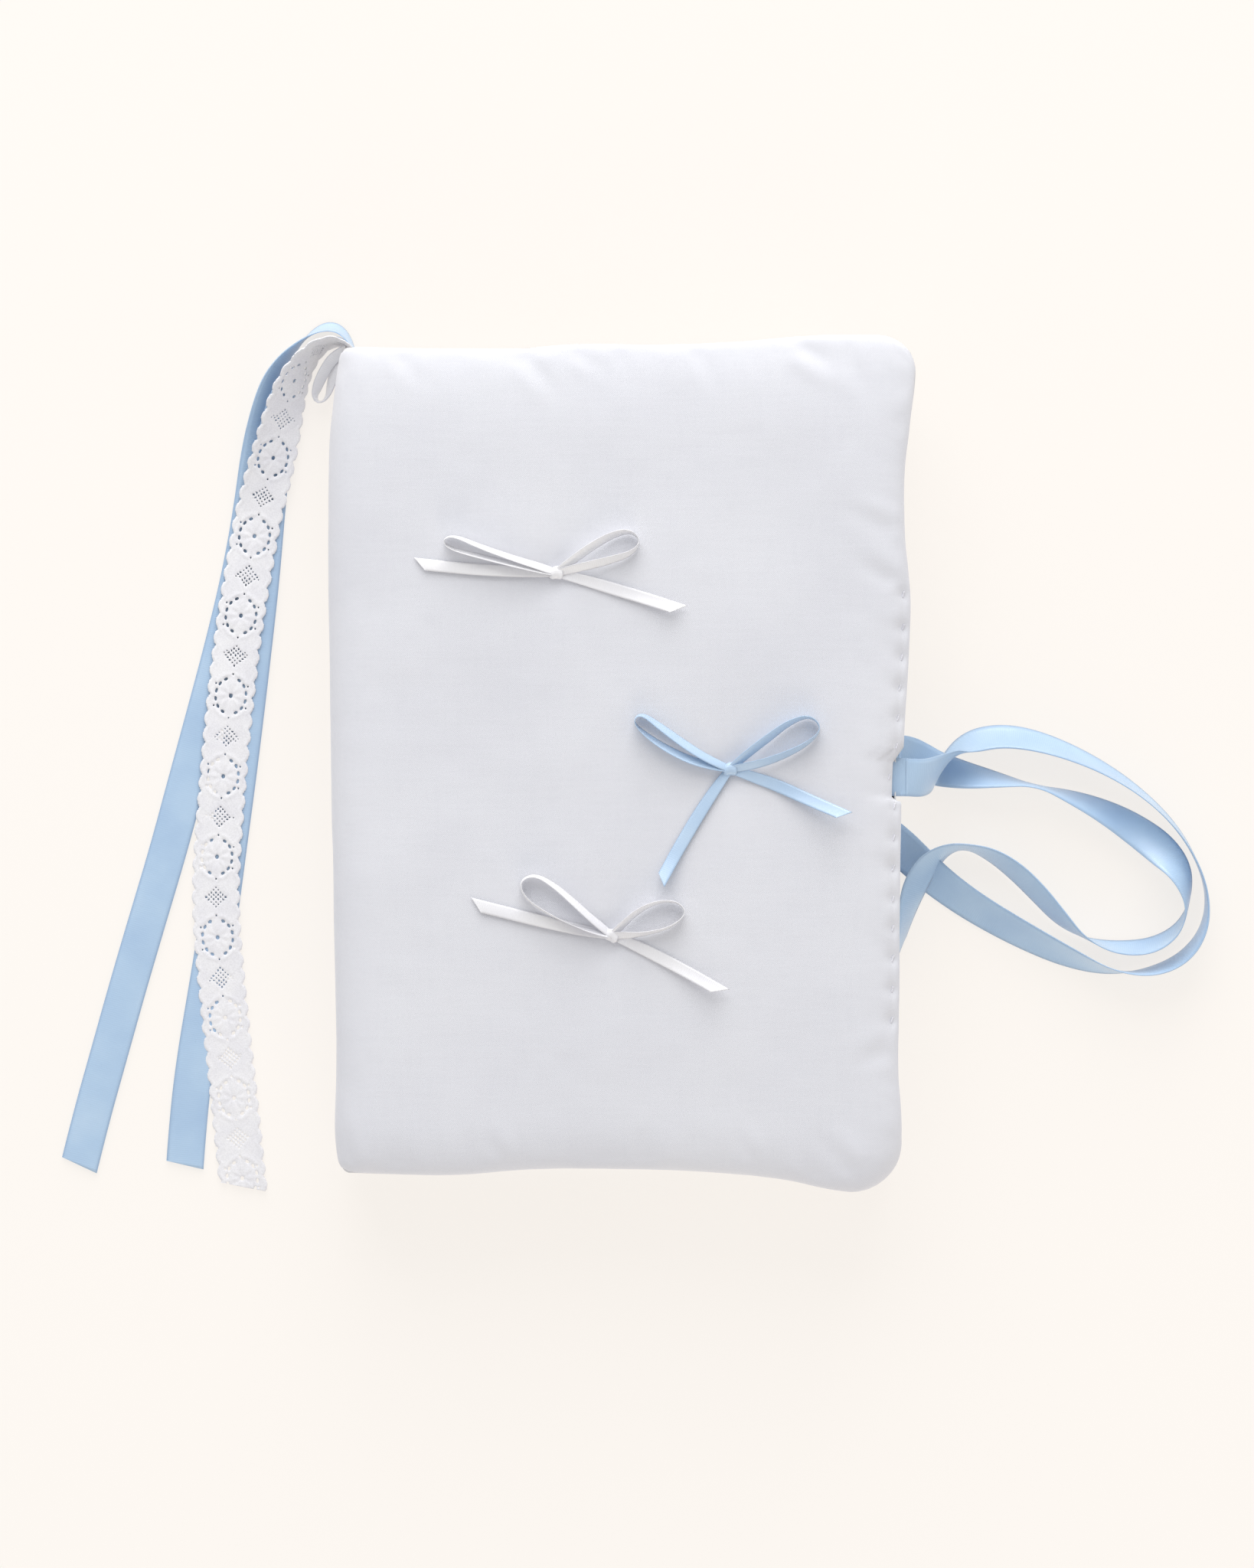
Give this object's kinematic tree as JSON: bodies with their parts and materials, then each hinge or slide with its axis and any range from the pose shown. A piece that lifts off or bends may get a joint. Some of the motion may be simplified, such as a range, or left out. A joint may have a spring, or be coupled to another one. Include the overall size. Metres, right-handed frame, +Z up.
{
  "type": "prayer book in a padded fabric cover",
  "caption": "Closed book in a padded white cotton slip cover, with satin bows, tie ribbons at the fore-edge, and bookmark ribbons and lace at the head of the spine.",
  "frame": {"origin": "on the table, under the middle of the closed covers' outline; the ribbons beyond the covers don't count", "axes": "+X from the spine to the fore-edge, +Y from the tail to the head of the book, +Z up through the pages to the front cover"},
  "size_m": [0.3027, 0.2288, 0.037],
  "materials": {
    "white_cotton": "matte",
    "wadding": "matte",
    "lining_cotton": "matte",
    "white_satin": "satin",
    "blue_satin": "satin",
    "cotton_lace": "matte",
    "white_thread": "matte",
    "board": "matte",
    "endpaper": "matte",
    "paper": "matte",
    "mull_cloth": "matte",
    "end_band": "satin"
  },
  "bodies": {
    "back_cover": {"outer_cover_back": "white_cotton", "wadding_back": "wadding", "lining_back": "lining_cotton", "pocket_flap_back": "lining_cotton", "back_board": "board", "endpaper_back": "endpaper", "signature_4": "paper", "signature_5": "paper", "signature_6": "paper", "mull": "mull_cloth", "head_band": "end_band", "tail_band": "end_band", "bookmark_tack": "white_thread", "bookmark_ribbon_left": "blue_satin", "bookmark_ribbon_right": "blue_satin", "bookmark_lace": "cotton_lace", "bookmark_loop": "white_satin", "tie_tack_back": "blue_satin", "tie_ribbon_back": "blue_satin"},
    "spine": {"outer_cover_spine": "white_cotton", "wadding_spine": "wadding", "lining_spine": "lining_cotton", "spine_board": "board"},
    "front_cover": {"outer_cover_front": "white_cotton", "wadding_front": "wadding", "lining_front": "lining_cotton", "pocket_flap_front": "lining_cotton", "front_board": "board", "endpaper_front": "endpaper", "closing_stitches": "white_thread", "bow_upper": "white_satin", "bow_middle": "blue_satin", "bow_lower": "white_satin", "bow_tacks": "white_thread", "tie_tack_front": "blue_satin", "tie_ribbon_front": "blue_satin"},
    "first_leaves": {"signature_1": "paper"},
    "second_leaves": {"signature_2": "paper"},
    "third_leaves": {"signature_3": "paper"}
  },
  "joints": [
    {"name": "cover_opening", "type": "hinge", "parent": "back_cover", "child": "spine", "pos_m": [-0.0705, 0, 0.006], "axis": [0, -1, 0], "range_deg": [0, 90], "deforming": ["bookmark_ribbon_left", "bookmark_ribbon_right", "bookmark_lace", "bookmark_loop"]},
    {"name": "front_joint", "type": "hinge", "parent": "spine", "child": "front_cover", "pos_m": [-0.0705, 0, 0.0313], "axis": [0, -1, 0], "range_deg": [0, 90], "deforming": ["tie_ribbon_front"]},
    {"name": "first_leaves_turn", "type": "hinge", "parent": "back_cover", "child": "first_leaves", "pos_m": [-0.0701, 0, 0.01695], "axis": [0, -1, 0], "range_deg": [0, 171]},
    {"name": "second_leaves_turn", "type": "hinge", "parent": "back_cover", "child": "second_leaves", "pos_m": [-0.0701, 0, 0.01695], "axis": [0, -1, 0], "range_deg": [0, 167.4]},
    {"name": "third_leaves_turn", "type": "hinge", "parent": "back_cover", "child": "third_leaves", "pos_m": [-0.0701, 0, 0.01695], "axis": [0, -1, 0], "range_deg": [0, 163.8]}
  ],
  "couplings": [
    {"joint": "front_joint", "follows": "cover_opening", "ratio": 1},
    {"joint": "first_leaves_turn", "follows": "cover_opening", "ratio": 1.9},
    {"joint": "second_leaves_turn", "follows": "cover_opening", "ratio": 1.86},
    {"joint": "third_leaves_turn", "follows": "cover_opening", "ratio": 1.82}
  ]
}
